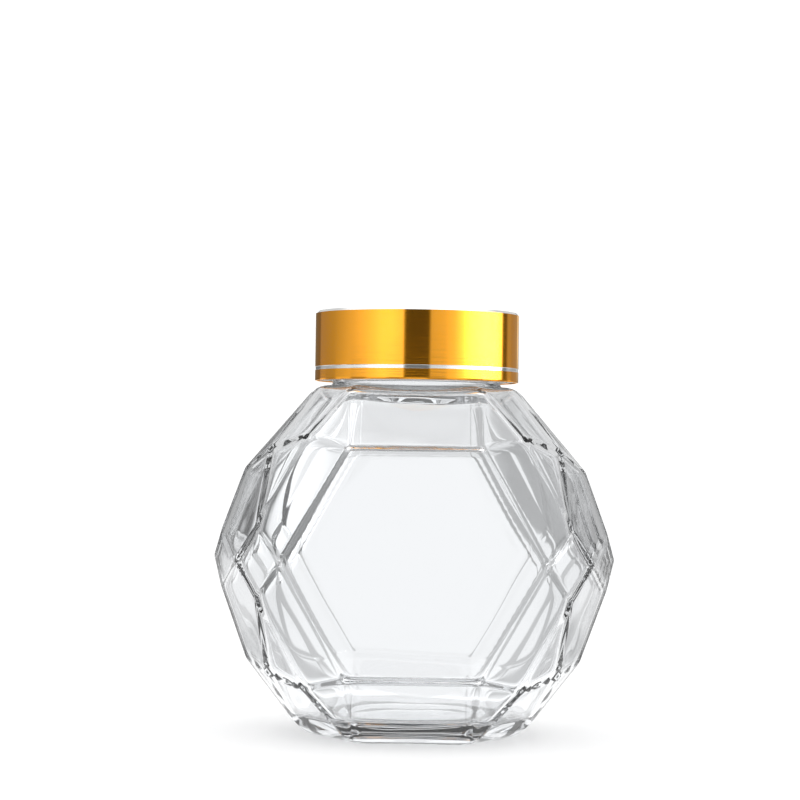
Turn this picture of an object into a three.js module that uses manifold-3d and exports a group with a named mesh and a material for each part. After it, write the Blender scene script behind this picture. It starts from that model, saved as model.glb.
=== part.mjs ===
// Honey jar: a ball of clear pressed glass cut into flat facets, with a regular hexagon
// on its front and back, and a gold anodised screw lid over a white threaded insert.
// Millimetres, +Z up. The origin is the middle of the base, and the front hexagon faces -Y.
import * as THREE from 'three';
import { ConvexGeometry } from 'three/addons/geometries/ConvexGeometry.js';
import { mergeVertices } from 'three/addons/utils/BufferGeometryUtils.js';
import Module from 'manifold-3d';

const wasm = await Module();
wasm.setup();

// Body: every main corner of the facets lies on one ball
const ballRadius = 57;
const equatorHeight = 50;
const hexagonSide = 36.5;
const diamondEndAzimuth = 59.5;
const stripTopAzimuth = 39.6;
const stripTopRise = 34.5;
const veeTopAzimuth = 56.8;
const veeTopRise = 31;
const sideVeeLean = 20.5;

// Shoulder and base: the flats that close the ball. The sloping facets end at a flat's
// front edge, at its corners and at its two sides
const shoulderHeight = 98.5;
const shoulder = {
  flatRise: shoulderHeight - equatorHeight,
  frontHalf: 17.4, frontReach: 28.5, cornerX: 26.8, cornerReach: 16.5, side: 27.8, sideVeeRise: 25.2,
};
const base = {
  flatRise: equatorHeight,
  frontHalf: 16.5, frontReach: 27.5, cornerX: 27, cornerReach: 19.5, side: 29.6, sideVeeRise: 28,
};
const wall = 3.2;
const baseThickness = 8;
const puntRadius = 20;
const puntDepth = 1;

// Neck finish
const rimHeight = 112.6;
const rimRadius = 25;
const rimBandHeight = 2.4;
const rimRound = 0.8;
const neckRadius = 23.8;
const neckFoot = 1.8;
const boreRadius = 21.2;
const transferBeadRadius = 24.9;
const transferBeadHeight = 104.6;
const transferBeadHalf = 1.1;
const transferBeadCrestHalf = 0.4;
const threadRadius = 26.3;
const threadPitch = 3.7;
const threadTurns = 1.1;
const threadStart = 106.4;
const threadBeadHeight = 2;
const threadCrestShare = 0.4;
const threadEndShare = 0.2;
const threadFadeTurns = 0.25;
const threadRoot = 0.4;

// Lid: shell, insert and sealing liner
const lidRadius = 29;
const lidHeight = 19.8;
const lidBottom = 100;
const shellWall = 0.5;
const topChamfer = 0.7;
const hemChamfer = 0.2;
const ringLineRise = 3.5;
const ringLineWidth = 1;
const ringLineDepth = 0.12;
const insertBore = 26.65;
const insertThreadInner = 25.45;
const insertThreadHeight = 1;
const insertLeadIn = 0.5;
const linerGrooveDrop = 0.4;
const linerGrooveSlope = 0.8;
const linerRadius = 27.2;
const linerThickness = 1.4;
const seatGap = 0.1;
const gap = 0.3;

const roundSteps = 64;
const stepsPerTurn = 48;

const degrees = THREE.MathUtils.degToRad;

// A mesh geometry as a solid that can be joined and cut
function solid(geometry) {
  const bare = geometry.clone();
  bare.deleteAttribute('normal');
  bare.deleteAttribute('uv');
  const merged = mergeVertices(bare, 1e-4);
  return new wasm.Manifold(new wasm.Mesh({
    numProp: 3,
    vertProperties: new Float32Array(merged.attributes.position.array),
    triVerts: new Uint32Array(merged.index.array),
  }));
}

// A solid back as a mesh geometry
function geometryOf(body) {
  const mesh = body.getMesh();
  const geometry = new THREE.BufferGeometry();
  geometry.setAttribute('position', new THREE.BufferAttribute(mesh.vertProperties, 3));
  geometry.setIndex(new THREE.BufferAttribute(mesh.triVerts, 1));
  geometry.computeVertexNormals();
  return geometry;
}

// A solid of revolution about Z from [radius, height] pairs that run up the outside
function turned(profile) {
  const points = profile.map(([radius, height]) => new THREE.Vector2(radius, height));
  return new THREE.LatheGeometry(points, roundSteps).rotateX(Math.PI / 2);
}

// The point on the ball at an azimuth from the front and a rise above the equator
function onBall(azimuth, rise) {
  const radius = Math.sqrt(ballRadius ** 2 - rise ** 2);
  const angle = degrees(azimuth);
  return new THREE.Vector3(radius * Math.sin(angle), -radius * Math.cos(angle), rise);
}

// The facet through three points, facing away from the middle of the ball
function facetThrough(a, b, c) {
  const plane = new THREE.Plane().setFromCoplanarPoints(a, b, c);
  return plane.constant > 0 ? plane.negate() : plane;
}

// The facet that leans back from the vertical at an azimuth and passes through a point
function leaningFacet(azimuth, lean, point) {
  const flat = Math.cos(degrees(lean));
  const angle = degrees(azimuth);
  const normal = new THREE.Vector3(
    flat * Math.sin(angle), -flat * Math.cos(angle), Math.sin(degrees(lean)),
  );
  return new THREE.Plane().setFromNormalAndCoplanarPoint(normal, point);
}

// The point of a facet at an azimuth from the front and a rise above the equator
function onFacet(facet, azimuth, rise) {
  const angle = degrees(azimuth);
  const across = facet.normal.x * Math.sin(angle) - facet.normal.y * Math.cos(angle);
  const radius = (-facet.constant - facet.normal.z * rise) / across;
  return new THREE.Vector3(radius * Math.sin(angle), -radius * Math.cos(angle), rise);
}

// The point that three facets share, or null where two of them are parallel
function meet(a, b, c) {
  const bc = b.normal.clone().cross(c.normal);
  const determinant = a.normal.dot(bc);
  if (Math.abs(determinant) < 1e-7) return null;
  const point = bc.multiplyScalar(-a.constant);
  point.addScaledVector(c.normal.clone().cross(a.normal), -b.constant);
  point.addScaledVector(a.normal.clone().cross(b.normal), -c.constant);
  return point.divideScalar(determinant);
}

// One eighth of the ball's facets, measured from the ball's own middle, up to one flat
function facetsUpTo(flat) {
  const hexagonAzimuth = THREE.MathUtils.radToDeg(Math.asin(hexagonSide / ballRadius));
  const hexagonEnd = onBall(hexagonAzimuth, 0);
  const hexagonRise = hexagonSide * Math.sin(degrees(60));
  const hexagonTop = new THREE.Vector3(hexagonSide / 2, hexagonEnd.y, hexagonRise);
  const diamondEnd = onBall(diamondEndAzimuth, 0);
  const diamondMiddle = (hexagonAzimuth + diamondEndAzimuth) / 2;
  const diamondRise = hexagonEnd.distanceTo(diamondEnd) / 2;

  const hexagon = leaningFacet(0, 0, hexagonEnd);
  const diamond = leaningFacet(diamondMiddle, 0, diamondEnd);
  const sidePanel = leaningFacet((diamondEndAzimuth + 90) / 2, 0, diamondEnd);
  const diamondTop = onFacet(diamond, diamondMiddle, diamondRise);
  const strip = facetThrough(hexagonEnd, hexagonTop, diamondTop);
  const stripTop = onFacet(strip, stripTopAzimuth, stripTopRise);
  const veeTop = onBall(veeTopAzimuth, veeTopRise);
  const vee = facetThrough(diamondTop, stripTop, veeTop);
  const sideStrip = facetThrough(diamondEnd, diamondTop, veeTop);
  const sideVee = leaningFacet(90, sideVeeLean, onBall(90, 0));
  const levelOfSideVee = new THREE.Plane(new THREE.Vector3(0, 0, 1), -flat.sideVeeRise);
  const sideVeeTop = meet(sideStrip, sideVee, levelOfSideVee);

  const frontEdge = new THREE.Vector3(flat.frontHalf, -flat.frontReach, flat.flatRise);
  const corner = new THREE.Vector3(flat.cornerX, -flat.cornerReach, flat.flatRise);
  const sideEdge = new THREE.Vector3(flat.side, 0, flat.flatRise);
  const leftHexagonTop = new THREE.Vector3(-hexagonTop.x, hexagonTop.y, hexagonTop.z);
  const backSideVeeTop = new THREE.Vector3(sideVeeTop.x, -sideVeeTop.y, sideVeeTop.z);
  const slopes = [
    facetThrough(hexagonTop, leftHexagonTop, frontEdge),
    facetThrough(hexagonTop, stripTop, frontEdge),
    facetThrough(stripTop, veeTop, frontEdge),
    facetThrough(veeTop, sideVeeTop, corner),
    facetThrough(sideVeeTop, backSideVeeTop, sideEdge),
  ];
  return [hexagon, diamond, sidePanel, strip, vee, sideStrip, sideVee, ...slopes];
}

// All facets of the ball: each eighth mirrored left and right, front and back
function facetsOfBall() {
  const facets = [];
  for (const [flat, z] of [[shoulder, 1], [base, -1]]) {
    for (const facet of facetsUpTo(flat)) {
      for (const x of [1, -1]) {
        for (const y of [1, -1]) {
          const normal = facet.normal.clone().multiply(new THREE.Vector3(x, y, z));
          const same = (other) => other.normal.distanceTo(normal) < 1e-6;
          if (!facets.some(same)) facets.push(new THREE.Plane(normal, facet.constant));
        }
      }
    }
  }
  return facets;
}

// The closed body inside the ball's facets moved in by a depth, between two flats
function facetedBody(depth, bottom, top) {
  const facets = facetsOfBall().map((facet) => new THREE.Plane(facet.normal, facet.constant + depth));
  facets.push(new THREE.Plane(new THREE.Vector3(0, 0, 1), -(top - equatorHeight)));
  facets.push(new THREE.Plane(new THREE.Vector3(0, 0, -1), bottom - equatorHeight));
  const corners = [];
  for (let i = 0; i < facets.length; i += 1) {
    for (let j = i + 1; j < facets.length; j += 1) {
      for (let k = j + 1; k < facets.length; k += 1) {
        const point = meet(facets[i], facets[j], facets[k]);
        if (!point || facets.some((facet) => facet.distanceToPoint(point) > 1e-5)) continue;
        if (!corners.some((corner) => corner.distanceTo(point) < 1e-3)) corners.push(point);
      }
    }
  }
  return solid(new ConvexGeometry(corners).translate(0, 0, equatorHeight));
}

// A helical bead that starts at the back: root and crest radius, height at the root,
// height of its first end and number of turns
function helicalBead(root, crest, height, first, turns) {
  const steps = Math.round(turns * stepsPerTurn);
  const positions = [];
  const index = [];
  const corners = 4;
  for (let step = 0; step <= steps; step += 1) {
    const angle = Math.PI / 2 + (step / stepsPerTurn) * 2 * Math.PI;
    const turnsFromEnd = Math.min(step, steps - step) / stepsPerTurn;
    const fade = Math.min(1, threadEndShare + turnsFromEnd / threadFadeTurns);
    const edge = root + (crest - root) * fade;
    const crestHalf = (height * threadCrestShare) / 2;
    const middle = first + (step / stepsPerTurn) * threadPitch;
    const section = [
      [root, -height / 2], [edge, -crestHalf], [edge, crestHalf], [root, height / 2],
    ];
    for (const [radius, rise] of section) {
      positions.push(radius * Math.cos(angle), radius * Math.sin(angle), middle + rise);
    }
  }
  const quad = (a, b, c, d) => index.push(a, b, c, a, c, d);
  for (let step = 0; step < steps; step += 1) {
    for (let corner = 0; corner < corners; corner += 1) {
      const here = step * corners;
      const next = here + corners;
      const after = (corner + 1) % corners;
      quad(here + corner, next + corner, next + after, here + after);
    }
  }
  const last = steps * corners;
  quad(0, 1, 2, 3);
  quad(last + 3, last + 2, last + 1, last);
  if (crest < root) {
    for (let i = 0; i < index.length; i += 3) [index[i], index[i + 1]] = [index[i + 1], index[i]];
  }
  const geometry = new THREE.BufferGeometry();
  geometry.setAttribute('position', new THREE.Float32BufferAttribute(positions, 3));
  geometry.setIndex(index);
  return solid(geometry);
}

function glassJar() {
  const foot = [0, 30, 60, 90].map((angle) => [
    neckRadius + neckFoot * (1 - Math.sin(degrees(angle))),
    shoulderHeight + neckFoot * (1 - Math.cos(degrees(angle))),
  ]);
  const rimBand = rimHeight - rimBandHeight;
  const neck = solid(turned([
    [0, shoulderHeight - wall],
    [neckRadius + neckFoot, shoulderHeight - wall],
    ...foot,
    [neckRadius, transferBeadHeight - transferBeadHalf],
    [transferBeadRadius, transferBeadHeight - transferBeadCrestHalf],
    [transferBeadRadius, transferBeadHeight + transferBeadCrestHalf],
    [neckRadius, transferBeadHeight + transferBeadHalf],
    [neckRadius, rimBand - (rimRadius - neckRadius)],
    [rimRadius, rimBand],
    [rimRadius, rimHeight - rimRound],
    [rimRadius - rimRound, rimHeight],
    [0, rimHeight],
  ]));
  const bore = solid(turned([
    [0, shoulderHeight - 2 * wall],
    [boreRadius, shoulderHeight - 2 * wall],
    [boreRadius, rimHeight - rimRound],
    [boreRadius + rimRound, rimHeight + gap],
    [0, rimHeight + gap],
  ]));
  const hollow = [1, 0.5, 0].map((share) => [puntRadius * share, puntDepth * (1 - share ** 2)]);
  const punt = solid(turned([[0, -gap], [puntRadius, -gap], ...hollow]));
  const thread = helicalBead(
    neckRadius - threadRoot, threadRadius, threadBeadHeight, threadStart, threadTurns,
  );
  return facetedBody(0, 0, shoulderHeight)
    .add(neck)
    .add(thread)
    .subtract(facetedBody(wall, baseThickness, shoulderHeight - wall))
    .subtract(bore)
    .subtract(punt);
}

function sealingLiner() {
  const bottom = rimHeight + seatGap;
  const top = bottom + linerThickness;
  return turned([[0, bottom], [linerRadius, bottom], [linerRadius, top], [0, top]]);
}

function lidInsert() {
  const outer = lidRadius - shellWall - gap;
  const bottom = lidBottom + gap;
  const top = lidBottom + lidHeight - shellWall - gap;
  const seat = rimHeight + seatGap + linerThickness + seatGap;
  const cup = solid(turned([
    [0, seat],
    [linerRadius + gap, seat],
    [linerRadius + gap, rimHeight - linerGrooveDrop],
    [insertBore, rimHeight - linerGrooveDrop - linerGrooveSlope],
    [insertBore, bottom + insertLeadIn],
    [insertBore + insertLeadIn, bottom],
    [outer, bottom],
    [outer, top - topChamfer],
    [outer - topChamfer, top],
    [0, top],
  ]));
  const thread = helicalBead(
    insertBore + threadRoot, insertThreadInner, insertThreadHeight,
    threadStart - threadPitch / 2, threadTurns,
  );
  return cup.add(thread);
}

function lidShell() {
  const top = lidBottom + lidHeight;
  const inner = lidRadius - shellWall;
  const ring = lidBottom + ringLineRise;
  const grooved = lidRadius - ringLineDepth;
  return turned([
    [0, top - shellWall],
    [inner - topChamfer, top - shellWall],
    [inner, top - shellWall - topChamfer],
    [inner, lidBottom],
    [lidRadius - hemChamfer, lidBottom],
    [lidRadius, lidBottom + hemChamfer],
    [lidRadius, ring - ringLineWidth / 2],
    [grooved, ring - ringLineWidth / 2 + ringLineDepth],
    [grooved, ring + ringLineWidth / 2 - ringLineDepth],
    [lidRadius, ring + ringLineWidth / 2],
    [lidRadius, top - topChamfer],
    [lidRadius - topChamfer, top],
    [0, top],
  ]);
}

function piece(name, geometry, color, roughness, metalness) {
  const mesh = new THREE.Mesh(geometry, new THREE.MeshStandardMaterial({ color, roughness, metalness }));
  mesh.name = name;
  return mesh;
}

const jar = new THREE.Group();
jar.add(
  piece('glass_jar', geometryOf(glassJar()), '#e6eceb', 0.03, 0),
  piece('sealing_liner', sealingLiner(), '#dedede', 0.6, 0),
  piece('lid_insert', geometryOf(lidInsert()), '#f2f2f0', 0.4, 0),
  piece('lid_shell', lidShell(), '#e09a1a', 0.22, 1),
);

export default jar;
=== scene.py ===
# %% [markdown]
# A honey jar of clear pressed glass, cut into flat facets like a gem, closed by a gold
# anodised screw lid. The solids of the jar are loaded first: they fix every size and
# place, and each finer surface made below stands in for one of them.

# %% Load the frame
import itertools
import math

import bpy
import numpy as np
from mathutils import Matrix, Vector


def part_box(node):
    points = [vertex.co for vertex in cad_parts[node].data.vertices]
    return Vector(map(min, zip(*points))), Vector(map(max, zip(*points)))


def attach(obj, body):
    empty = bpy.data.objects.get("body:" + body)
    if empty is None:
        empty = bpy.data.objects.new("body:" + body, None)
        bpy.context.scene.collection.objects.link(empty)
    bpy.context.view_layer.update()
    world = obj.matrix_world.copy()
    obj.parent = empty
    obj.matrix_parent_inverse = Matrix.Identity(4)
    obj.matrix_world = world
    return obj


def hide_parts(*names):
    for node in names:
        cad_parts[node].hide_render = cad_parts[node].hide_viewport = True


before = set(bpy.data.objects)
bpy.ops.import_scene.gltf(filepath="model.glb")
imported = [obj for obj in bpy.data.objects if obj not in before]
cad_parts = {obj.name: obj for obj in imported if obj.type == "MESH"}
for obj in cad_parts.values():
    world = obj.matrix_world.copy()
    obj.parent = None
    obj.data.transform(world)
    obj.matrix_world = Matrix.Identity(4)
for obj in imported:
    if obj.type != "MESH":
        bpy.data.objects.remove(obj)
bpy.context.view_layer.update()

print("nodes", sorted(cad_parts))

# %% [markdown]
# Blender counts in metres here, while a jar is drawn in millimetres, so one constant turns
# one into the other. A mesh could be put together with Blender's own tools, one step at a
# time. Here every mesh is computed as whole arrays instead, because the shape is then its
# formula. Round surfaces are grids that close on themselves, so two more helpers give the
# faces of such a grid and of the fan that closes it at the axis.

# %% Meshes from arrays
MM = 0.001


def mesh_piece(name, points_mm, faces, smooth=True):
    """A mesh object at the origin from an array of points in millimetres and lists of faces."""
    mesh = bpy.data.meshes.new(name)
    mesh.from_pydata((np.asarray(points_mm) * MM).tolist(), [], [list(map(int, f)) for f in faces])
    mesh.validate()
    mesh.update()
    mesh.polygons.foreach_set("use_smooth", np.full(len(mesh.polygons), smooth))
    piece = bpy.data.objects.new(name, mesh)
    bpy.context.collection.objects.link(piece)
    print(name, len(mesh.polygons), "faces")
    return piece


def ring_quads(rows, steps, first=0):
    """Quads of a grid round the axis: (i, j), (i, j + 1), (i + 1, j + 1), (i + 1, j), j closing on itself."""
    index = first + np.arange(rows * steps).reshape(rows, steps)
    after = np.roll(index, -1, axis=1)
    return np.stack([index[:-1], after[:-1], after[1:], index[1:]], 2).reshape(-1, 4)


def pole_fan(pole, first, steps, upward):
    """Triangles from one ring of points to the single point that closes it."""
    circle = first + np.arange(steps)
    faces = np.stack([circle, np.roll(circle, -1), np.full(steps, pole)], 1)
    return faces if upward else faces[:, ::-1]


print("quads in a grid of 3 rows and 8 steps:", len(ring_quads(3, 8)))

# %% [markdown]
# A finish is a tree of shader nodes. The colours are written as on screen, in sRGB hex, and
# Blender reckons in linear light, so one function turns the first into the second. Another
# adds any node with its settings and its links, and a third starts an empty material.

# %% Colours and shader nodes
def linear(hex_colour):
    """An sRGB hex colour as linear RGBA: c / 12.92 when dark, ((c + 0.055) / 1.055) ^ 2.4 above."""
    c = np.array([int(hex_colour[i:i + 2], 16) / 255 for i in (1, 3, 5)])
    c = np.where(c <= 0.04045, c / 12.92, ((c + 0.055) / 1.055) ** 2.4)
    return (*c.tolist(), 1.0)


def add(tree, kind, links=(), **settings):
    """Adds a node of a kind, sets its properties and inputs, and links inputs to other outputs."""
    node = tree.nodes.new(kind)
    for key, value in settings.items():
        if hasattr(node, key):
            setattr(node, key, value)
        else:
            node.inputs[key.replace("_", " ")].default_value = value
    for socket, output in dict(links).items():
        tree.links.new(output, node.inputs[socket])
    return node


def new_material(name):
    """An empty node material, its tree and its output node."""
    material = bpy.data.materials.new(name)
    material.use_nodes = True
    tree = material.node_tree
    tree.nodes.clear()
    return material, tree, tree.nodes.new("ShaderNodeOutputMaterial")


print("middle grey on screen is", round(linear("#808080")[0], 3), "in linear light")

# %% [markdown]
# The camera stands a little under the shoulder's height, two thirds of a metre away, with a
# long lens. A nearer camera with a short lens could show the jar as large, but its facets
# would lose their proportions. It looks slightly up and to the left, and is rolled by
# less than a degree, because the jar leans that much in its picture.

# %% Camera
FRAME_PIXELS = 800
FOCAL_PIXELS = 2298
SENSOR_MM = 36.0
CAMERA_DISTANCE, CAMERA_HEIGHT = 0.655, 0.0807
YAW, PITCH, ROLL = math.radians(0.406), math.radians(1.239), math.radians(0.8)
camera_data = bpy.data.cameras.new("camera")
camera_data.sensor_width = SENSOR_MM
camera_data.lens = FOCAL_PIXELS / FRAME_PIXELS * SENSOR_MM
camera = bpy.data.objects.new("camera", camera_data)
bpy.context.collection.objects.link(camera)
camera.matrix_world = (
    Matrix.Translation((0, -CAMERA_DISTANCE, CAMERA_HEIGHT))
    @ Matrix.Rotation(YAW, 4, "Z")
    @ Matrix.Rotation(math.pi / 2 + PITCH, 4, "X")
    @ Matrix.Rotation(ROLL, 4, "Z")
)
bpy.context.scene.camera = camera
print("lens", round(camera_data.lens, 1), "mm")

# %% [markdown]
# The jar stands on a white floor in a white room. The floor is one wide disc of matt paint,
# so large that its edge is lost in the white of the room.

# %% Floor and world
FLOOR_RADIUS, FLOOR_CORNERS = 6.0, 96
ROOM_BRIGHTNESS = 1.15
angles = np.linspace(0, 2 * np.pi, FLOOR_CORNERS, endpoint=False)
floor_ring = np.stack([np.cos(angles), np.sin(angles), 0 * angles], 1) * FLOOR_RADIUS / MM
floor = mesh_piece("studio_floor", floor_ring, [range(FLOOR_CORNERS)], smooth=False)
floor_paint, tree, out = new_material("white floor paint")
shader = add(tree, "ShaderNodeBsdfDiffuse", Color=linear("#f7f7f7"))
tree.links.new(shader.outputs[0], out.inputs["Surface"])
floor.data.materials.append(floor_paint)

world = bpy.data.worlds.new("white studio")
bpy.context.scene.world = world
world.use_nodes = True
room = world.node_tree.nodes["Background"]
room.inputs["Color"].default_value = linear("#ffffff")
room.inputs["Strength"].default_value = ROOM_BRIGHTNESS
print("room brightness", ROOM_BRIGHTNESS)

# %% [markdown]
# Clear glass has no colour of its own: it shows whatever surrounds it, bent. Product
# photographers therefore light the background, not the bottle, and stand dark cloth beside
# the bright part, so that the facets and edges come out as grey lines on white. Cards and
# lamps could be stood round the jar one by one. Here one dome does it all, and how brightly
# it glows is a formula of the direction round the jar and of the height. Its lower part is
# bright in line with the eight main views and grey between them. The lid sees the dome just
# above its own height, where soft boxes draw the upright bands in the metal.

# %% Tones of the dome
# Glows have no unit. Directions are in degrees, and heights, radii and the widths over which
# one tone fades into the next are in metres.
BRIGHT = 0.99                                                # in line with the main views
VIEW_STEP, VIEW_HALF, VIEW_SOFT = 45.0, 12.0, 3.0            # between views, half width, fade
GREY, GREY_BACK_LEFT, GREY_BACK_RIGHT = 0.36, 0.10, 0.24     # between the main views
BACK_AZIMUTH = 157.5                                         # middle of the two back greys
GREY_FLOOR, FLOOR_TOP, FLOOR_SOFT = 0.56, 0.022, 0.01        # paler where the wall meets the floor
POOL, POOL_RADIUS, POOL_SOFT, POOL_TOP = 1.2, 0.09, 0.04, 0.01    # light on the floor, round the jar
LID_LEVEL, LID_LEVEL_FRONT, LID_FRONT_HALF, LID_SOFT = 0.112, 0.098, 17, 0.006    # foot of the bands
BOX_TOP, BOX_SOFT, BOX_LIMIT = 0.20, 0.05, 0.9               # above it no band is brighter than this
CLOTH_SIDE_SOFT, CLOTH_END_SOFT = 1.6, 0.02
CANOPY, CANOPY_LEVEL, CANOPY_SOFT = 0.72, 0.30, 0.12
TOP_BOX, TOP_BOX_LEVEL = 0.9, 0.72                           # the soft box overhead
# Azimuth in degrees from the camera's side, and glow: the bands that the lid mirrors.
LID_BANDS = np.array([
    (-180, 0.34), (-150, 0.38), (-124, 0.44), (-106, 0.52), (-90, 0.70), (-74, 0.95), (-60, 1.25),
    (-48, 1.55), (-40, 1.85), (-28, 1.95), (-15, 1.6), (-13.5, 0.09), (13.5, 0.09), (15, 0.85), (30, 1.0),
    (42, 1.35), (52, 2.4), (62, 4.8), (80, 6.8), (98, 5.8), (108, 3.0), (111, 0.12), (118, 0.12),
    (122, 0.50), (150, 0.45), (180, 0.34),
])
# Cloths behind the jar: from and to in degrees to the left, bottom and top in metres, and glow.
CLOTHS = (
    (-50, -26, 0.05, 0.40, 0.42),    # grey behind the right edge
    (-26, -16, 0.13, 0.40, 0.95),    # light behind the upper right facets
    (-21, -7, 0.05, 0.13, 0.40),     # grey behind the upper right strip
    (7, 12.5, 0.02, 0.32, 1.25),     # bright behind the upper left strip
    (-7, 7, 0.135, 0.40, 0.77),      # pale grey behind the front of the shoulder
    (-7, 7, -1, 0.135, BRIGHT),      # bright behind the middle of the hexagon
    (12.5, 42, 0.10, 0.34, 0.20),    # dark behind the left edge
    (14, 42, 0.035, 0.10, 0.06),     # nearly black behind the left diamond
)
print("bands", len(LID_BANDS), "cloths", len(CLOTHS))


# %% The dome's glow
def above(value, limit, soft):
    """0 below a limit and 1 above it: 3 t^2 - 2 t^3, where t runs from 0 to 1 over a soft width."""
    t = np.clip((value - limit) / soft + 0.5, 0, 1)
    return t * t * (3 - 2 * t)


def between(value, low, high, soft):
    """1 between two limits and 0 outside them."""
    return above(value, low, soft) * (1 - above(value, high, soft))


def mix(a, b, share):
    """a where the share is 0 and b where it is 1: a + (b - a) * share."""
    return a + (b - a) * share


def dome_glow(azimuth, height, radius):
    """Glow at an azimuth in degrees from the camera's side, a height and a radius in metres.

    From the floor up it is a chain of mixes: cloth, the pool of light round the jar, the bands of the
    lid, the cloths behind the jar, and the canopy with its soft box.
    """
    half = VIEW_STEP / 2
    grey = np.where(
        np.abs(azimuth + BACK_AZIMUTH) < half, GREY_BACK_LEFT,
        np.where(np.abs(azimuth - BACK_AZIMUTH) < half, GREY_BACK_RIGHT, GREY),
    )
    grey = mix(GREY_FLOOR, grey, above(height, FLOOR_TOP, FLOOR_SOFT))
    off_view = np.abs((azimuth + half) % VIEW_STEP - half)
    low_part = mix(BRIGHT, grey, above(off_view, VIEW_HALF, VIEW_SOFT))
    in_pool = (1 - above(radius, POOL_RADIUS, POOL_SOFT)) * (height < POOL_TOP)
    low_part = mix(low_part, POOL, in_pool)
    bands = np.interp(azimuth, LID_BANDS[:, 0], LID_BANDS[:, 1])
    bands = mix(bands, np.minimum(bands, BOX_LIMIT), above(height, BOX_TOP, BOX_SOFT))
    lid_level = np.where(np.abs(azimuth) < LID_FRONT_HALF, LID_LEVEL_FRONT, LID_LEVEL)
    glow = mix(low_part, bands, above(height, lid_level, LID_SOFT))
    to_left = azimuth % 360 - 180
    for start, end, bottom, top, tone in CLOTHS:
        share = between(to_left, start, end, CLOTH_SIDE_SOFT) * between(height, bottom, top, CLOTH_END_SOFT)
        glow = mix(glow, tone, share)
    glow = mix(glow, CANOPY, above(height, CANOPY_LEVEL, CANOPY_SOFT))
    return glow + TOP_BOX * above(height, TOP_BOX_LEVEL, CANOPY_SOFT)


print("glow of the brightest band", round(float(dome_glow(80.0, 0.15, 0.75)), 2))

# %% [markdown]
# The dome itself is a ring on the floor, an upright wall and a cone on top, all carried
# round the axis. Its points keep their glow as an attribute, which the cloth's shader reads.
# Only glass and glossy surfaces see it. The camera and matt surfaces don't, so it never
# stands between a camera and the jar, and puts no light or shadow on the floor.

# %% The dome
DOME_STEPS = 288
NEAR_ROWS = [[0.036, 0.0008], [0.048, 0.0010]]
FLOOR_ROWS = np.stack([np.linspace(0.062, 0.72, 14), np.full(14, 0.0015)], 1)
WALL_ROWS = np.stack([np.full(64, 0.75), np.linspace(0.004, 0.62, 64)], 1)
CANOPY_ROWS = np.stack([np.linspace(0.74, 0.02, 16), np.linspace(0.64, 1.0, 16)], 1)
dome_rz = np.concatenate([NEAR_ROWS, FLOOR_ROWS, WALL_ROWS, CANOPY_ROWS])
dome_azimuth = np.linspace(-180, 180, DOME_STEPS, endpoint=False)
azimuth, radius = np.meshgrid(dome_azimuth, dome_rz[:, 0])
height = np.repeat(dome_rz[:, 1:], DOME_STEPS, axis=1)
around = np.radians(azimuth)
dome_points = np.stack([radius * np.sin(around), -radius * np.cos(around), height], 2)
dome = mesh_piece("studio_dome", dome_points.reshape(-1, 3) / MM, ring_quads(len(dome_rz), DOME_STEPS))
glow = dome_glow(azimuth, height, radius)
dome.data.attributes.new("glow", "FLOAT", "POINT").data.foreach_set("value", glow.ravel().astype(np.float32))
dome_cloth, tree, out = new_material("lit studio cloth")
glow_value = add(tree, "ShaderNodeAttribute", attribute_name="glow")
shader = add(tree, "ShaderNodeEmission", {"Strength": glow_value.outputs["Fac"]}, Color=linear("#ffffff"))
tree.links.new(shader.outputs[0], out.inputs["Surface"])
dome.data.materials.append(dome_cloth)
dome.visible_camera = False
dome.visible_diffuse = False
dome.visible_shadow = False
print("glow from", round(float(glow.min()), 2), "to", round(float(glow.max()), 2))

# %% [markdown]
# One wide lamp overhead lays the lid's soft shadow on the floor. A ray of light crosses
# many walls of glass on its way through a jar, so it is allowed many bounces.

# %% Top lamp and light paths
LAMP_PLACE, LAMP_AIM = Vector((0.1, -0.2, 1.4)), Vector((0, 0, 0.05))
LAMP_SIZE, LAMP_WATTS = 0.9, 3.0
lamp_data = bpy.data.lights.new("top_lamp", "AREA")
lamp_data.size, lamp_data.energy = LAMP_SIZE, LAMP_WATTS
lamp = bpy.data.objects.new("top_lamp", lamp_data)
lamp.location = LAMP_PLACE
lamp.rotation_euler = (LAMP_AIM - LAMP_PLACE).to_track_quat("-Z", "Y").to_euler()
lamp.visible_camera = False
bpy.context.collection.objects.link(lamp)
scene = bpy.context.scene
scene.view_settings.view_transform = "Standard"
scene.cycles.max_bounces = 32
scene.cycles.transmission_bounces = 32
scene.cycles.glossy_bounces = 12
scene.cycles.transparent_max_bounces = 16
print("light may cross glass", scene.cycles.transmission_bounces, "times")

# %% [markdown]
# The real body is pressed in a mould that was cut flat by flat. It could be modelled by
# slicing a ball with Boolean cuts. It is a convex solid, though, so the planes of its facets
# describe it fully, and they can be written down. Every main corner lies on one ball: a
# regular hexagon in front and behind, an upright diamond beside each of its pointed ends, a
# strip along each slanted side, and smaller facets round the sides. A few named corners
# give the planes of one eighth, and mirroring gives the rest.

# %% Sizes of the body
jar_high = np.array(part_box("glass_jar")[1]) / MM
BALL_RADIUS = jar_high[0]
EQUATOR = 50.0
HEXAGON_SIDE = 36.5
DIAMOND_END = math.radians(59.5)
STRIP_TOP, STRIP_TOP_RISE = math.radians(39.6), 34.5
VEE_TOP, VEE_TOP_RISE = math.radians(56.8), 31.0
SIDE_VEE_LEAN = math.radians(20.5)
SHOULDER_HEIGHT = 98.5
SHOULDER = dict(
    rise=SHOULDER_HEIGHT - EQUATOR, front_half=17.4, front=28.5, corner=(26.8, -16.5), side=27.8,
    vee_rise=25.2,
)
BASE = dict(rise=EQUATOR, front_half=16.5, front=27.5, corner=(27.0, -19.5), side=29.6, vee_rise=28.0)
print("ball radius", round(float(BALL_RADIUS), 2), "mm")


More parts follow.
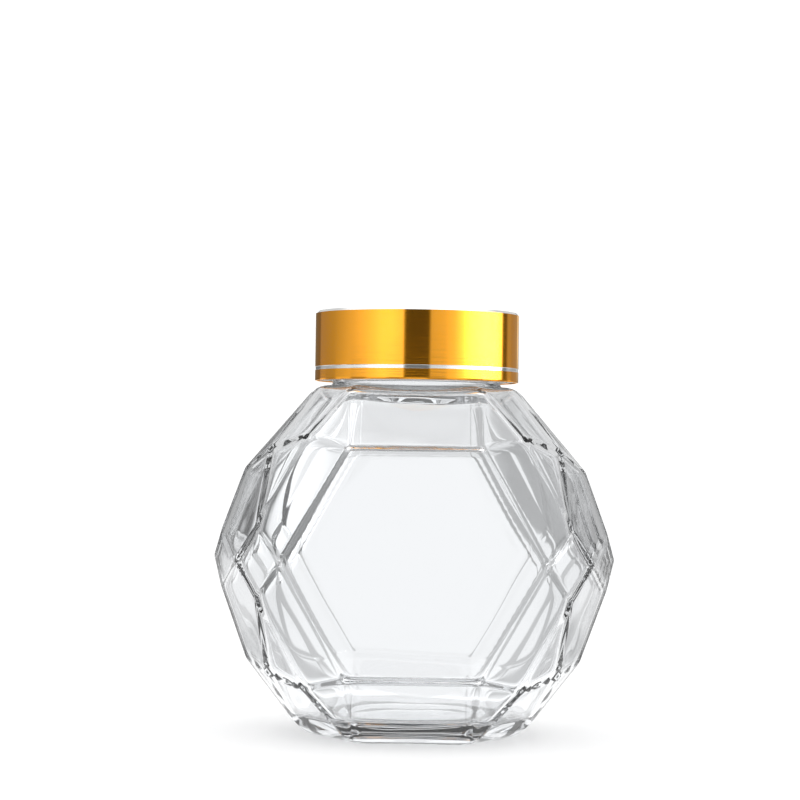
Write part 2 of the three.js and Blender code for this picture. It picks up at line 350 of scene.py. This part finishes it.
# %% Points and planes
def on_ball(azimuth, rise):
    """The point of the ball at an azimuth from the front and a rise above its middle."""
    radius = math.sqrt(BALL_RADIUS**2 - rise**2)
    return np.array([radius * math.sin(azimuth), -radius * math.cos(azimuth), rise])


def plane_through(a, b, c):
    """Unit normal and distance of the plane through three points, facing outwards."""
    normal = np.cross(b - a, c - a)
    normal = normal / np.linalg.norm(normal)
    distance = normal @ a
    return np.append(normal, distance) * (1 if distance > 0 else -1)


def leaning_plane(azimuth, lean, point):
    """The plane through a point whose normal has an azimuth and a lean above the level."""
    level = math.cos(lean)
    normal = np.array([level * math.sin(azimuth), -level * math.cos(azimuth), math.sin(lean)])
    return np.append(normal, normal @ point)


def on_plane(plane, azimuth, rise):
    """The point of a plane at an azimuth and a rise."""
    radius = (plane[3] - plane[2] * rise) / (plane[0] * math.sin(azimuth) - plane[1] * math.cos(azimuth))
    return np.array([radius * math.sin(azimuth), -radius * math.cos(azimuth), rise])


print("right end of the ball", on_ball(math.pi / 2, 0).round(2))


# %% The facets as planes
def planes_up_to(flat):
    """The facets of one eighth of the ball, up to the flat that closes it."""
    hexagon_end_azimuth = math.asin(HEXAGON_SIDE / BALL_RADIUS)
    hexagon_end = on_ball(hexagon_end_azimuth, 0)
    hexagon_top = np.array([HEXAGON_SIDE / 2, hexagon_end[1], HEXAGON_SIDE * math.sin(math.pi / 3)])
    diamond_end = on_ball(DIAMOND_END, 0)
    diamond_middle = (hexagon_end_azimuth + DIAMOND_END) / 2
    hexagon = leaning_plane(0, 0, hexagon_end)
    diamond = leaning_plane(diamond_middle, 0, diamond_end)
    side_panel = leaning_plane((DIAMOND_END + math.pi / 2) / 2, 0, diamond_end)
    diamond_top = on_plane(diamond, diamond_middle, np.linalg.norm(diamond_end - hexagon_end) / 2)
    strip = plane_through(hexagon_end, hexagon_top, diamond_top)
    strip_top = on_plane(strip, STRIP_TOP, STRIP_TOP_RISE)
    vee_top = on_ball(VEE_TOP, VEE_TOP_RISE)
    vee = plane_through(diamond_top, strip_top, vee_top)
    side_strip = plane_through(diamond_end, diamond_top, vee_top)
    side_vee = leaning_plane(math.pi / 2, SIDE_VEE_LEAN, on_ball(math.pi / 2, 0))
    level = np.array([0, 0, 1, flat["vee_rise"]])
    three = np.stack([side_strip, side_vee, level])
    side_vee_top = np.linalg.solve(three[:, :3], three[:, 3])
    front_edge = np.array([flat["front_half"], -flat["front"], flat["rise"]])
    corner = np.array([*flat["corner"], flat["rise"]])
    side_edge = np.array([flat["side"], 0, flat["rise"]])
    slopes = [
        plane_through(hexagon_top, hexagon_top * [-1, 1, 1], front_edge),
        plane_through(hexagon_top, strip_top, front_edge),
        plane_through(strip_top, vee_top, front_edge),
        plane_through(vee_top, side_vee_top, corner),
        plane_through(side_vee_top, side_vee_top * [1, -1, 1], side_edge),
    ]
    return np.stack([hexagon, diamond, side_panel, strip, vee, side_strip, side_vee, *slopes])


def mirrored_planes():
    """All facets: each eighth times the signs of its mirror images, with doubles taken out."""
    signs = np.array([[x, y] for x in (1, -1) for y in (1, -1)])
    halves = []
    for flat, z in ((SHOULDER, 1), (BASE, -1)):
        flips = np.column_stack([signs, np.full(4, z), np.ones(4)])
        halves.append((planes_up_to(flat)[:, None, :] * flips[None]).reshape(-1, 4))
    rounded = np.round(np.concatenate(halves), 9) + 0.0
    return np.unique(rounded, axis=0)


SIDE_PLANES = mirrored_planes()
FLAT_PLANES = np.array([[0, 0, 1, SHOULDER["rise"]], [0, 0, -1, BASE["rise"]]])
OUTER_PLANES = np.concatenate([SIDE_PLANES, FLAT_PLANES])
print("facets of the body", len(SIDE_PLANES))

# %% [markdown]
# A corner is a point where three planes meet and which no other plane cuts off. All triples
# are solved in one call, and what lies inside every plane is kept. A facet is then the ring
# of corners on its plane, sorted by angle round the facet's middle.

# %% Corners and facet outlines
PARALLEL, INSIDE_SLACK, ON_SLACK = 1e-6, 1e-5, 1e-3
triples = np.array(list(itertools.combinations(range(len(OUTER_PLANES)), 3)))
usable = np.abs(np.linalg.det(OUTER_PLANES[triples][:, :, :3])) > PARALLEL
meeting = OUTER_PLANES[triples[usable]]
meets = np.linalg.solve(meeting[:, :, :3], meeting[:, :, 3:])[:, :, 0]
inside = (meets @ OUTER_PLANES[:, :3].T - OUTER_PLANES[:, 3]).max(axis=1) < INSIDE_SLACK
corners = np.unique(np.round(meets[inside], 4), axis=0)


def outline(plane):
    """The corners on a plane, in turn round it, anticlockwise from outside."""
    on = np.flatnonzero(np.abs(corners @ plane[:3] - plane[3]) < ON_SLACK)
    away = corners[on] - corners[on].mean(axis=0)
    across = away[0] / np.linalg.norm(away[0])
    turned = away @ np.cross(plane[:3], across)
    return on[np.argsort(np.arctan2(turned, away @ across))]


facets = [outline(plane) for plane in SIDE_PLANES]
facets = [ring for ring in facets if len(ring) > 2]
top_ring, base_ring = (outline(plane) for plane in FLAT_PLANES)
middle = np.array([0, 0, EQUATOR])
corners = corners + middle
print("corners", len(corners), "facets", len(facets))

# %% [markdown]
# Round the neck, the glass is a surface of revolution. A Screw modifier could turn its
# profile, but not let a thread climb round it, so the profile is carried round the axis as
# an array. It runs from the shoulder up the neck, over the rounded rim and down the bore.
# The thread is a smooth bump in height that climbs with the angle, and is added to the
# radius. Under it runs the plain bead by which the hot jar was carried.

# %% Neck sizes and helpers
ROUND_STEPS = 288
RIM_HEIGHT = jar_high[2]
RIM_RADIUS, NECK_RADIUS, BORE_RADIUS, RIM_ROUND = 25.0, 23.8, 21.2, 1.2
NECK_STEP, FILLET, ARC_POINTS = 0.4, 1.4, 7
NECK_ROW, RIM_BAND = 0.3, 3.2
BEAD_HEIGHT, BEAD_SWELL, BEAD_HALF = 104.6, 1.1, 1.1
THREAD_START, THREAD_PITCH, THREAD_TURNS, THREAD_FADE = 106.4, 3.7, 1.1, 1 / 8
THREAD_SWELL, THREAD_HALF = 2.0, 1.1
RIM_FOOT = [[RIM_RADIUS - 0.1, RIM_HEIGHT - 2.6], [RIM_RADIUS, RIM_HEIGHT - 2.2]]
BORE_HEIGHTS = np.linspace(RIM_HEIGHT - 2.5, SHOULDER_HEIGHT + 1, 8)
theta =np.arange(ROUND_STEPS) * 2 * np.pi / ROUND_STEPS


def arc(centre, radius, start, stop, count):
    """Points of an arc in the (radius, height) plane, from one angle in degrees to another."""
    a = np.radians(np.linspace(start, stop, count))
    return np.stack([centre[0] + radius * np.cos(a), centre[1] + radius * np.sin(a)], 1)


def bump(distance, half):
    """A smooth bump: cos^2 of the distance, and nothing beyond half a width."""
    return np.where(np.abs(distance) < half, np.cos(np.pi / 2 * distance / half) ** 2, 0.0)


def thread_ridge(angle, height, start, half):
    """Share of a screw ridge at an angle and a height.

    The ridge's middle climbs by one pitch a turn, height = start + turns * pitch, and it fades at both ends.
    """
    turn = (angle - np.pi / 2) % (2 * np.pi) / (2 * np.pi)
    share = 0
    for along in (turn, turn + 1):
        fade = np.clip(np.minimum(along, THREAD_TURNS - along) / THREAD_FADE, 0, 1)
        share = share + fade * bump(height - (start + along * THREAD_PITCH), half)
    return share


print("thread climbs", round(THREAD_TURNS * THREAD_PITCH, 2), "mm")

# %% Neck surface
neck_heights = np.arange(SHOULDER_HEIGHT + FILLET + NECK_ROW, RIM_HEIGHT - RIM_BAND, NECK_ROW)
profile = np.concatenate([
    arc((NECK_RADIUS + FILLET, SHOULDER_HEIGHT + FILLET), FILLET, 270, 180, ARC_POINTS),
    np.stack([NECK_RADIUS + NECK_STEP * (neck_heights > BEAD_HEIGHT), neck_heights], 1),
    RIM_FOOT,
    arc((RIM_RADIUS - RIM_ROUND, RIM_HEIGHT - RIM_ROUND), RIM_ROUND, 0, 90, ARC_POINTS),
    arc((BORE_RADIUS + RIM_ROUND, RIM_HEIGHT - RIM_ROUND), RIM_ROUND, 90, 180, ARC_POINTS),
    np.stack([np.full_like(BORE_HEIGHTS, BORE_RADIUS), BORE_HEIGHTS], 1),
])
radii = np.repeat(profile[:, :1], ROUND_STEPS, axis=1)
heights = np.repeat(profile[:, 1:], ROUND_STEPS, axis=1)
outer_rows = ARC_POINTS + len(neck_heights) + len(RIM_FOOT)
outside = np.arange(len(profile))[:, None] < outer_rows
radii = radii + outside * BEAD_SWELL * bump(heights - BEAD_HEIGHT, BEAD_HALF)
radii = radii + outside * THREAD_SWELL * thread_ridge(theta, heights, THREAD_START, THREAD_HALF)
neck_grid = np.stack([radii * np.cos(theta), radii * np.sin(theta), heights], 2)
print("neck rows", len(profile), "widest", round(float(radii.max()), 2), "mm")

# %% [markdown]
# The inside of a pressed and blown jar follows the facets, but softly: air pushed the glass
# against them, and its corners never filled. A Solidify modifier would give it corners as
# hard as the outside's. So the inside is one radius for each direction from the jar's
# middle instead: the distance to the facets moved in by the wall. With w the direction and
# n, d a facet's normal and distance, the radius is 1 / (sum of (w n / d)^p)^(1/p), and a
# higher power p makes a harder crease. A second sum merges it with the bore.

# %% The inner facets
WALL, FLOOR_THICKNESS = 3.2, 8.0
TAPER, TAPERED_ABOVE = 1.10, 0.02
upper_facet = SIDE_PLANES[:, 2:3] > TAPERED_ABOVE
inner_normals = SIDE_PLANES[:, :3] * np.where(upper_facet, [TAPER, 1, TAPER], 1)
inner_normals = inner_normals / np.linalg.norm(inner_normals, axis=1)[:, None]
on_facet = np.abs((corners - middle) @ SIDE_PLANES[:, :3].T - SIDE_PLANES[:, 3]) < ON_SLACK
front_most = np.where(on_facet, np.abs(corners[:, 1:2]), -1).argmax(axis=0)
side_distance = (inner_normals * (corners - middle)[front_most]).sum(axis=1) - WALL
flat_distance = [FLAT_PLANES[0, 3] - WALL, EQUATOR - FLOOR_THICKNESS]
inner_distance = np.append(side_distance, flat_distance)
inner_normals = np.concatenate([inner_normals, FLAT_PLANES[:, :3]])
print("inner facets", len(inner_normals), "at least", round(float(inner_distance.min()), 2), "mm away")

# %% The inside
INNER_ROWS = 236
CREASE_POWER, BORE_POWER = 240, 60
BORE_REACH_LIMIT, TINY = 60, 1e-3
RIPPLE = 0.10


def rounded_sum(terms, power):
    """(sum of terms^p)^(1/p) on the last axis. The largest is taken out first, to keep powers in range."""
    largest = terms.max(axis=-1)
    return largest * ((terms / largest[..., None]) ** power).sum(axis=-1) ** (1 / power)


bore_elevation = math.atan2(profile[-1, 1] - EQUATOR, BORE_RADIUS)
elevation = np.linspace(bore_elevation, -math.pi / 2, INNER_ROWS + 2)[1:-1, None]
flat = np.cos(elevation)
ways = np.stack([flat * np.cos(theta), flat * np.sin(theta), np.sin(elevation) + 0 * theta], 2)
reach = 1 / rounded_sum(np.clip(ways @ inner_normals.T / inner_distance, 0, None), CREASE_POWER)
bore_reach = BORE_RADIUS / np.maximum(flat, TINY) * (elevation > 0) + TINY
bore_reach = np.minimum(bore_reach, BORE_REACH_LIMIT) + 0 * reach
reach = rounded_sum(np.stack([reach, bore_reach], 2), BORE_POWER)
ripple = (
    np.sin(3 * theta + 5 * elevation) + np.sin(5 * theta - 4 * elevation + 1)
    + np.sin(8 * elevation + 2 * theta)
)
reach = reach - RIPPLE * ripple * flat**2
inner_grid = ways * reach[:, :, None] + middle
print("floor at", round(float(inner_grid[-1, 0, 2]), 2), "mm")

# %% [markdown]
# Under the base, a shallow hollow leaves a ring to stand on. The parts could be separate
# shells, but light would then be bent again wherever they touch. So they share one mesh:
# the facets, a flat strip from the base's outline to the hollow, another from the
# shoulder's outline to the neck, and the rows of the round surface. Through one closed skin
# light passes from air to glass and back just once on each side.

# %% The hollow under the base
PUNT_RADIUS, PUNT_DEPTH, PUNT_ROWS = 20.0, 1.0, 14
punt_radii = PUNT_RADIUS * np.cos(np.linspace(0, np.pi / 2, PUNT_ROWS)[:-1])
punt_heights = PUNT_DEPTH * (1 - (punt_radii / PUNT_RADIUS) ** 2)
punt_grid = np.stack([
    punt_radii[:, None] * np.cos(theta), punt_radii[:, None] * np.sin(theta),
    np.repeat(punt_heights[:, None], ROUND_STEPS, axis=1),
], 2)
print("hollow", PUNT_DEPTH, "mm deep and", 2 * PUNT_RADIUS, "mm across")


# %% One closed skin of glass
def strip_faces(ring, first, upward):
    """Triangles that fill the flat between an outline of corners and a circle of points.

    Each step of the circle is joined to the nearest corner, and where the nearest corner
    changes, one more triangle spans the outline's edge.
    """
    angle = np.arctan2(corners[ring, 1], corners[ring, 0])
    gap = np.abs((theta[:, None] + np.pi / ROUND_STEPS - angle + np.pi) % (2 * np.pi) - np.pi)
    near = ring[gap.argmin(axis=1)]
    circle = first + np.arange(ROUND_STEPS)
    following = np.roll(circle, -1)
    fans = np.stack([near, following, circle], 1)
    next_near = np.roll(near, -1)
    spans = np.stack([near, next_near, following], 1)[near != next_near]
    faces = np.concatenate([fans, spans])
    return faces if upward else faces[:, ::-1]


skin_grid = np.concatenate([neck_grid, inner_grid])
floor_pole = np.array([[0, 0, inner_grid[-1, :, 2].mean()]])
punt_pole = np.array([[0, 0, PUNT_DEPTH]])
points = np.concatenate([
    corners, skin_grid.reshape(-1, 3), punt_grid.reshape(-1, 3), floor_pole, punt_pole
])
skin_first = len(corners)
punt_first = skin_first + skin_grid.shape[0] * ROUND_STEPS
floor_index = punt_first + punt_grid.shape[0] * ROUND_STEPS
faces = [
    *facets,
    *strip_faces(top_ring, skin_first, True),
    *ring_quads(skin_grid.shape[0], ROUND_STEPS, skin_first),
    *pole_fan(floor_index, punt_first - ROUND_STEPS, ROUND_STEPS, True),
    *strip_faces(base_ring, punt_first, False),
    *ring_quads(punt_grid.shape[0], ROUND_STEPS, punt_first)[:, ::-1],
    *pole_fan(floor_index + 1, floor_index - ROUND_STEPS, ROUND_STEPS, False),
]
jar_glass = mesh_piece("jar_glass", points, faces)

# %% [markdown]
# No pressed edge is sharp: the fire polish melts it a little. Rounding them in the array
# would need a new face for every edge and corner, which the Bevel modifier makes by itself.
# It rounds only edges with a weight, so the weight says how wide each one is: well under a
# millimetre between facets, more round the shoulder and most at the foot.

# %% Rounded edges
WIDEST, CREASE, SHOULDER_EDGE, FOOT_EDGE = 5.0, 0.65, 3.0, 5.0
mesh = jar_glass.data
ends = np.empty(len(mesh.edges) * 2, dtype=np.int32)
mesh.edges.foreach_get("vertices", ends)
ends = ends.reshape(-1, 2)
is_top = np.isin(ends, top_ring).all(axis=1)
is_foot = np.isin(ends, base_ring).all(axis=1)
is_crease = (ends < len(corners)).all(axis=1)
width = np.where(is_top, SHOULDER_EDGE, np.where(is_foot, FOOT_EDGE, CREASE * is_crease))
weights = mesh.attributes.new("bevel_weight_edge", "FLOAT", "EDGE")
weights.data.foreach_set("value", (width / WIDEST).astype(np.float32))
bevel = jar_glass.modifiers.new("fire polish", "BEVEL")
bevel.limit_method = "WEIGHT"
bevel.width = WIDEST * MM
bevel.segments = 4
bevel.use_clamp_overlap = False
bevel.harden_normals = True
jar_glass.visible_shadow = False
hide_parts("glass_jar")
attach(jar_glass, "root")
print("rounded edges", int((width > 0).sum()))

# %% [markdown]
# Jars are soda-lime flint glass: index of refraction 1.52, fire polished to a full gloss,
# and so clear that only a long way through it shows a cool grey, which the volume's
# absorption gives. A colour on the surface would tint thin and thick glass alike. Pressing
# leaves the faces faintly uneven, which bends what shows behind them, so a very low bump
# runs over the glass, as wide as a fingertip.

# %% Glass
SWIRL_MM = 18.0
glass, tree, out = new_material("soda-lime flint glass, fire polished")
place = add(tree, "ShaderNodeTexCoord")
swirl = add(
    tree, "ShaderNodeTexNoise", {"Vector": place.outputs["Object"]}, Scale=1 / (SWIRL_MM * MM), Detail=1.0
)
uneven = add(tree, "ShaderNodeBump", {"Height": swirl.outputs[0]}, Strength=0.05, Distance=0.002)
shader = add(
    tree, "ShaderNodeBsdfPrincipled", {"Normal": uneven.outputs[0]},
    Base_Color=linear("#fbfcfd"), Roughness=0.0, IOR=1.52, Transmission_Weight=1.0,
)
tint = add(tree, "ShaderNodeVolumeAbsorption", Color=linear("#d6dadf"), Density=6.0)
tree.links.new(shader.outputs[0], out.inputs["Surface"])
tree.links.new(tint.outputs[0], out.inputs["Volume"])
jar_glass.data.materials.append(glass)
print("glass swirl", SWIRL_MM, "mm wide")

# %% [markdown]
# The lid is spun from thin aluminium and anodised gold. Then a lathe cuts through the gold
# in two places, round the top edge and in a fine line above the bottom, where the bare metal
# flashes white. A cylinder with a Solidify modifier would come close, but the cuts need
# their own small slopes. So the wall is one closed profile, down the inside, round the
# hem and up the outside, turned about the axis. Faces that meet at a clear angle stay sharp.

# %% Turned pieces
LID_STEPS = 192


def turned_piece(name, outline_rz, sharp=30, inwards=None):
    """A (radius, height) outline carried round the axis. Both its ends lie on the axis, as poles.

    Point (i, j) of the grid is (r_i cos a_j, r_i sin a_j, z_i), and the last column meets the first.
    Where inwards is given, it says for each r, a and z how far the surface moves towards the axis.
    """
    outline_rz = np.asarray(outline_rz, dtype=float)
    a = np.arange(LID_STEPS) * 2 * np.pi / LID_STEPS
    r, z = outline_rz[1:-1, :1], outline_rz[1:-1, 1:]
    if inwards:
        r = r - inwards(r, a, z)
    grid = np.stack([r * np.cos(a), r * np.sin(a), z + 0 * a], 2)
    poles = np.array([[0, 0, outline_rz[0, 1]], [0, 0, outline_rz[-1, 1]]])
    count = len(z) * LID_STEPS
    faces = [
        *ring_quads(len(z), LID_STEPS),
        *pole_fan(count, 0, LID_STEPS, False),
        *pole_fan(count + 1, count - LID_STEPS, LID_STEPS, True),
    ]
    piece = mesh_piece(name, np.concatenate([grid.reshape(-1, 3), poles]), faces)
    piece.data.set_sharp_from_angle(angle=math.radians(sharp))
    return piece


print("a round piece has", LID_STEPS, "steps")

# %% Lid shell
lid_low, lid_high = (np.array(v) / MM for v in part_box("lid_shell"))
LID_RADIUS, LID_BOTTOM, LID_TOP = lid_high[0], lid_low[2], lid_high[2]
SHELL_WALL, INNER_CHAMFER, HEM_END = 0.5, 1.0, 0.5
RING_LINE, RING_WIDTH, RING_DEPTH = LID_BOTTOM + 3.5, 1.0, 0.12
CHAMFER = 0.7
HEM_ROUND = SHELL_WALL / 2
inner_radius, inner_top = LID_RADIUS - SHELL_WALL, LID_TOP - SHELL_WALL
groove_low, groove_high = RING_LINE - RING_WIDTH / 2, RING_LINE + RING_WIDTH / 2
hem = arc((LID_RADIUS - HEM_ROUND, LID_BOTTOM + HEM_ROUND), HEM_ROUND, 180, 360, 9)[1:].tolist()
shell_outline = [
    (0, inner_top), (inner_radius - INNER_CHAMFER, inner_top), (inner_radius, inner_top - INNER_CHAMFER),
    (inner_radius, LID_BOTTOM + HEM_ROUND), *hem, (LID_RADIUS, LID_BOTTOM + HEM_END),
    (LID_RADIUS, groove_low), (LID_RADIUS - RING_DEPTH, groove_low + RING_DEPTH),
    (LID_RADIUS - RING_DEPTH, groove_high - RING_DEPTH), (LID_RADIUS, groove_high),
    (LID_RADIUS, LID_TOP - CHAMFER), (LID_RADIUS - CHAMFER, LID_TOP), (0, LID_TOP),
]
lid_shell = turned_piece("lid_gold_shell", shell_outline, sharp=20)
groove = shell_outline.index((LID_RADIUS, groove_low))
top_cut = shell_outline.index((LID_RADIUS, LID_TOP - CHAMFER))
band = np.repeat(np.arange(1, len(shell_outline) - 2), LID_STEPS)
material_index = np.zeros(len(lid_shell.data.polygons), dtype=np.int32)
material_index[:len(band)] = np.isin(band, [groove, groove + 1, groove + 2, top_cut])
lid_shell.data.polygons.foreach_set("material_index", material_index)
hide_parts("lid_shell")
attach(lid_shell, "root")
print("bare faces", int(material_index.sum()))

# %% [markdown]
# Anodised aluminium is metal seen through a hard, clear, dyed oxide. So it is a full metal
# with a gold colour and a fairly low roughness, under a thin clear coat that pales its
# brightest lights. Spinning leaves fine lines round the lid. They could be cut into the
# mesh, but they are far too fine, so noise that is squeezed flat in height draws them in
# the roughness and a faint bump. Real ones are nearer 0.1 mm apart, and are drawn coarser
# to show. The bare cuts are brighter and lack the dye and the coat.

# %% Gold and bare aluminium
SPIN_LINE_MM = 0.35
SPIN_SQUEEZE = 0.02


def spun_metal(name, colour, edge, roughness, streak, coat):
    """Metal with faint turned lines: noise that changes fast in height and slowly round the lid."""
    material, tree, out = new_material(name)
    place = add(tree, "ShaderNodeTexCoord")
    squeeze = add(
        tree, "ShaderNodeMapping", {"Vector": place.outputs["Object"]},
        Scale=(SPIN_SQUEEZE, SPIN_SQUEEZE, 1.0),
    )
    lines = add(
        tree, "ShaderNodeTexNoise", {"Vector": squeeze.outputs[0]}, Scale=1 / (SPIN_LINE_MM * MM), Detail=2.0
    )
    uneven = add(tree, "ShaderNodeBump", {"Height": lines.outputs[0]}, Strength=streak, Distance=0.0001)
    rough = add(
        tree, "ShaderNodeMapRange", {"Value": lines.outputs[0]},
        To_Min=roughness * 0.8, To_Max=roughness * 1.25,
    )
    shader = add(
        tree, "ShaderNodeBsdfPrincipled", {"Normal": uneven.outputs[0], "Roughness": rough.outputs[0]},
        Base_Color=linear(colour), Metallic=1.0, Coat_Weight=coat, Coat_Roughness=0.05,
        Specular_Tint=linear(edge),
    )
    tree.links.new(shader.outputs[0], out.inputs["Surface"])
    return material


gold = spun_metal("gold anodised aluminium, spun", "#f8a61a", "#ffdc64", 0.11, 0.10, 0.6)
bare = spun_metal("bare turned aluminium", "#eeeeec", "#ffffff", 0.12, 0.05, 0.0)
lid_shell.data.materials.append(gold)
lid_shell.data.materials.append(bare)
print("lid finishes", [material.name for material in lid_shell.data.materials])

# %% [markdown]
# Inside the shell sits a moulded plastic insert with the screw thread. Its lower edge shows
# as a thin white line under the gold. It is a turned profile too, and its ridge runs half a
# pitch below the one on the neck, so that it catches under it.

# %% Insert
insert_low, insert_high = (np.array(v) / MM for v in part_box("lid_insert"))
liner_low, liner_high = (np.array(v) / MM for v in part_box("sealing_liner"))
INSERT_RADIUS, INSERT_BORE, LINER_RADIUS = insert_high[0], 26.65, liner_high[0]
GROOVE_RADIUS, SEAT = LINER_RADIUS + 0.3, liner_high[2] + 0.1
GROOVE_BOTTOM, BORE_TOP, BORE_END = RIM_HEIGHT - 0.4, RIM_HEIGHT - 1.2, insert_low[2] + 0.6
LEAD_ROUND, EDGE_ROUND, TOP_CHAMFER = 0.5, 0.3, 0.7
RIDGE_INWARDS, RIDGE_HALF, BORE_ROW = 1.2, 0.7, 0.25
bore_rows = np.arange(RIM_HEIGHT - 1.6, insert_low[2] + 0.8, -BORE_ROW)
insert_outline = [
    (0, SEAT), (GROOVE_RADIUS, SEAT), (GROOVE_RADIUS, GROOVE_BOTTOM), (INSERT_BORE, BORE_TOP),
    *[(INSERT_BORE, height) for height in bore_rows], (INSERT_BORE, BORE_END),
    *arc((INSERT_BORE + LEAD_ROUND, insert_low[2] + LEAD_ROUND), LEAD_ROUND, 180, 270, 5).tolist(),
    *arc((INSERT_RADIUS - EDGE_ROUND, insert_low[2] + EDGE_ROUND), EDGE_ROUND, 270, 360, 4).tolist(),
    (INSERT_RADIUS, insert_high[2] - TOP_CHAMFER), (INSERT_RADIUS - TOP_CHAMFER, insert_high[2]),
    (0, insert_high[2]),
]


def insert_ridge(r, a, z):
    """The insert's screw ridge: it stands inwards from the bore and nowhere else."""
    start = THREAD_START - THREAD_PITCH / 2
    return (r == INSERT_BORE) * RIDGE_INWARDS * thread_ridge(a, z, start, RIDGE_HALF)


lid_insert = turned_piece("lid_white_insert", insert_outline, inwards=insert_ridge)
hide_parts("lid_insert")
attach(lid_insert, "root")
print("insert bore", round(2 * INSERT_BORE, 1), "mm")

# %% [markdown]
# Above the insert's bore a disc of foam lies on the rim and seals it. It is punched from a
# sheet, and its edges are only slightly rounded.

# %% Sealing disc
LINER_EDGE = 0.25
liner_outline = [
    (0, liner_low[2]), (LINER_RADIUS - LINER_EDGE, liner_low[2]),
    (LINER_RADIUS, liner_low[2] + LINER_EDGE), (LINER_RADIUS, liner_high[2] - LINER_EDGE),
    (LINER_RADIUS - LINER_EDGE, liner_high[2]), (0, liner_high[2]),
]
liner = turned_piece("lid_sealing_disc", liner_outline)
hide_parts("sealing_liner")
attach(liner, "root")
print("disc", round(2 * float(LINER_RADIUS), 1), "mm across")

# %% [markdown]
# The insert is white polypropylene, moulded with a fine matt grain, and the disc is
# polyethylene foam with closed cells of a few tenths of a millimetre. Both are plain
# plastics with a noise bump, whose size is the grain's or the cell's.


# %% Plastic and foam
def moulded(name, colour, roughness, grain_mm, depth):
    """Matt plastic or foam with a fine grain whose size is given in millimetres."""
    material, tree, out = new_material(name)
    place = add(tree, "ShaderNodeTexCoord")
    grain = add(
        tree, "ShaderNodeTexNoise", {"Vector": place.outputs["Object"]}, Scale=1 / (grain_mm * MM), Detail=3.0
    )
    uneven = add(tree, "ShaderNodeBump", {"Height": grain.outputs[0]}, Strength=depth, Distance=0.0001)
    shader = add(
        tree, "ShaderNodeBsdfPrincipled", {"Normal": uneven.outputs[0]},
        Base_Color=linear(colour), Roughness=roughness,
    )
    tree.links.new(shader.outputs[0], out.inputs["Surface"])
    return material


polypropylene = moulded("white polypropylene, moulded", "#f2f2f0", 0.4, 0.6, 0.2)
foam = moulded("closed-cell polyethylene foam", "#dedede", 0.6, 0.4, 0.5)
lid_insert.data.materials.append(polypropylene)
liner.data.materials.append(foam)
print("plastics", polypropylene.name, "and", foam.name)
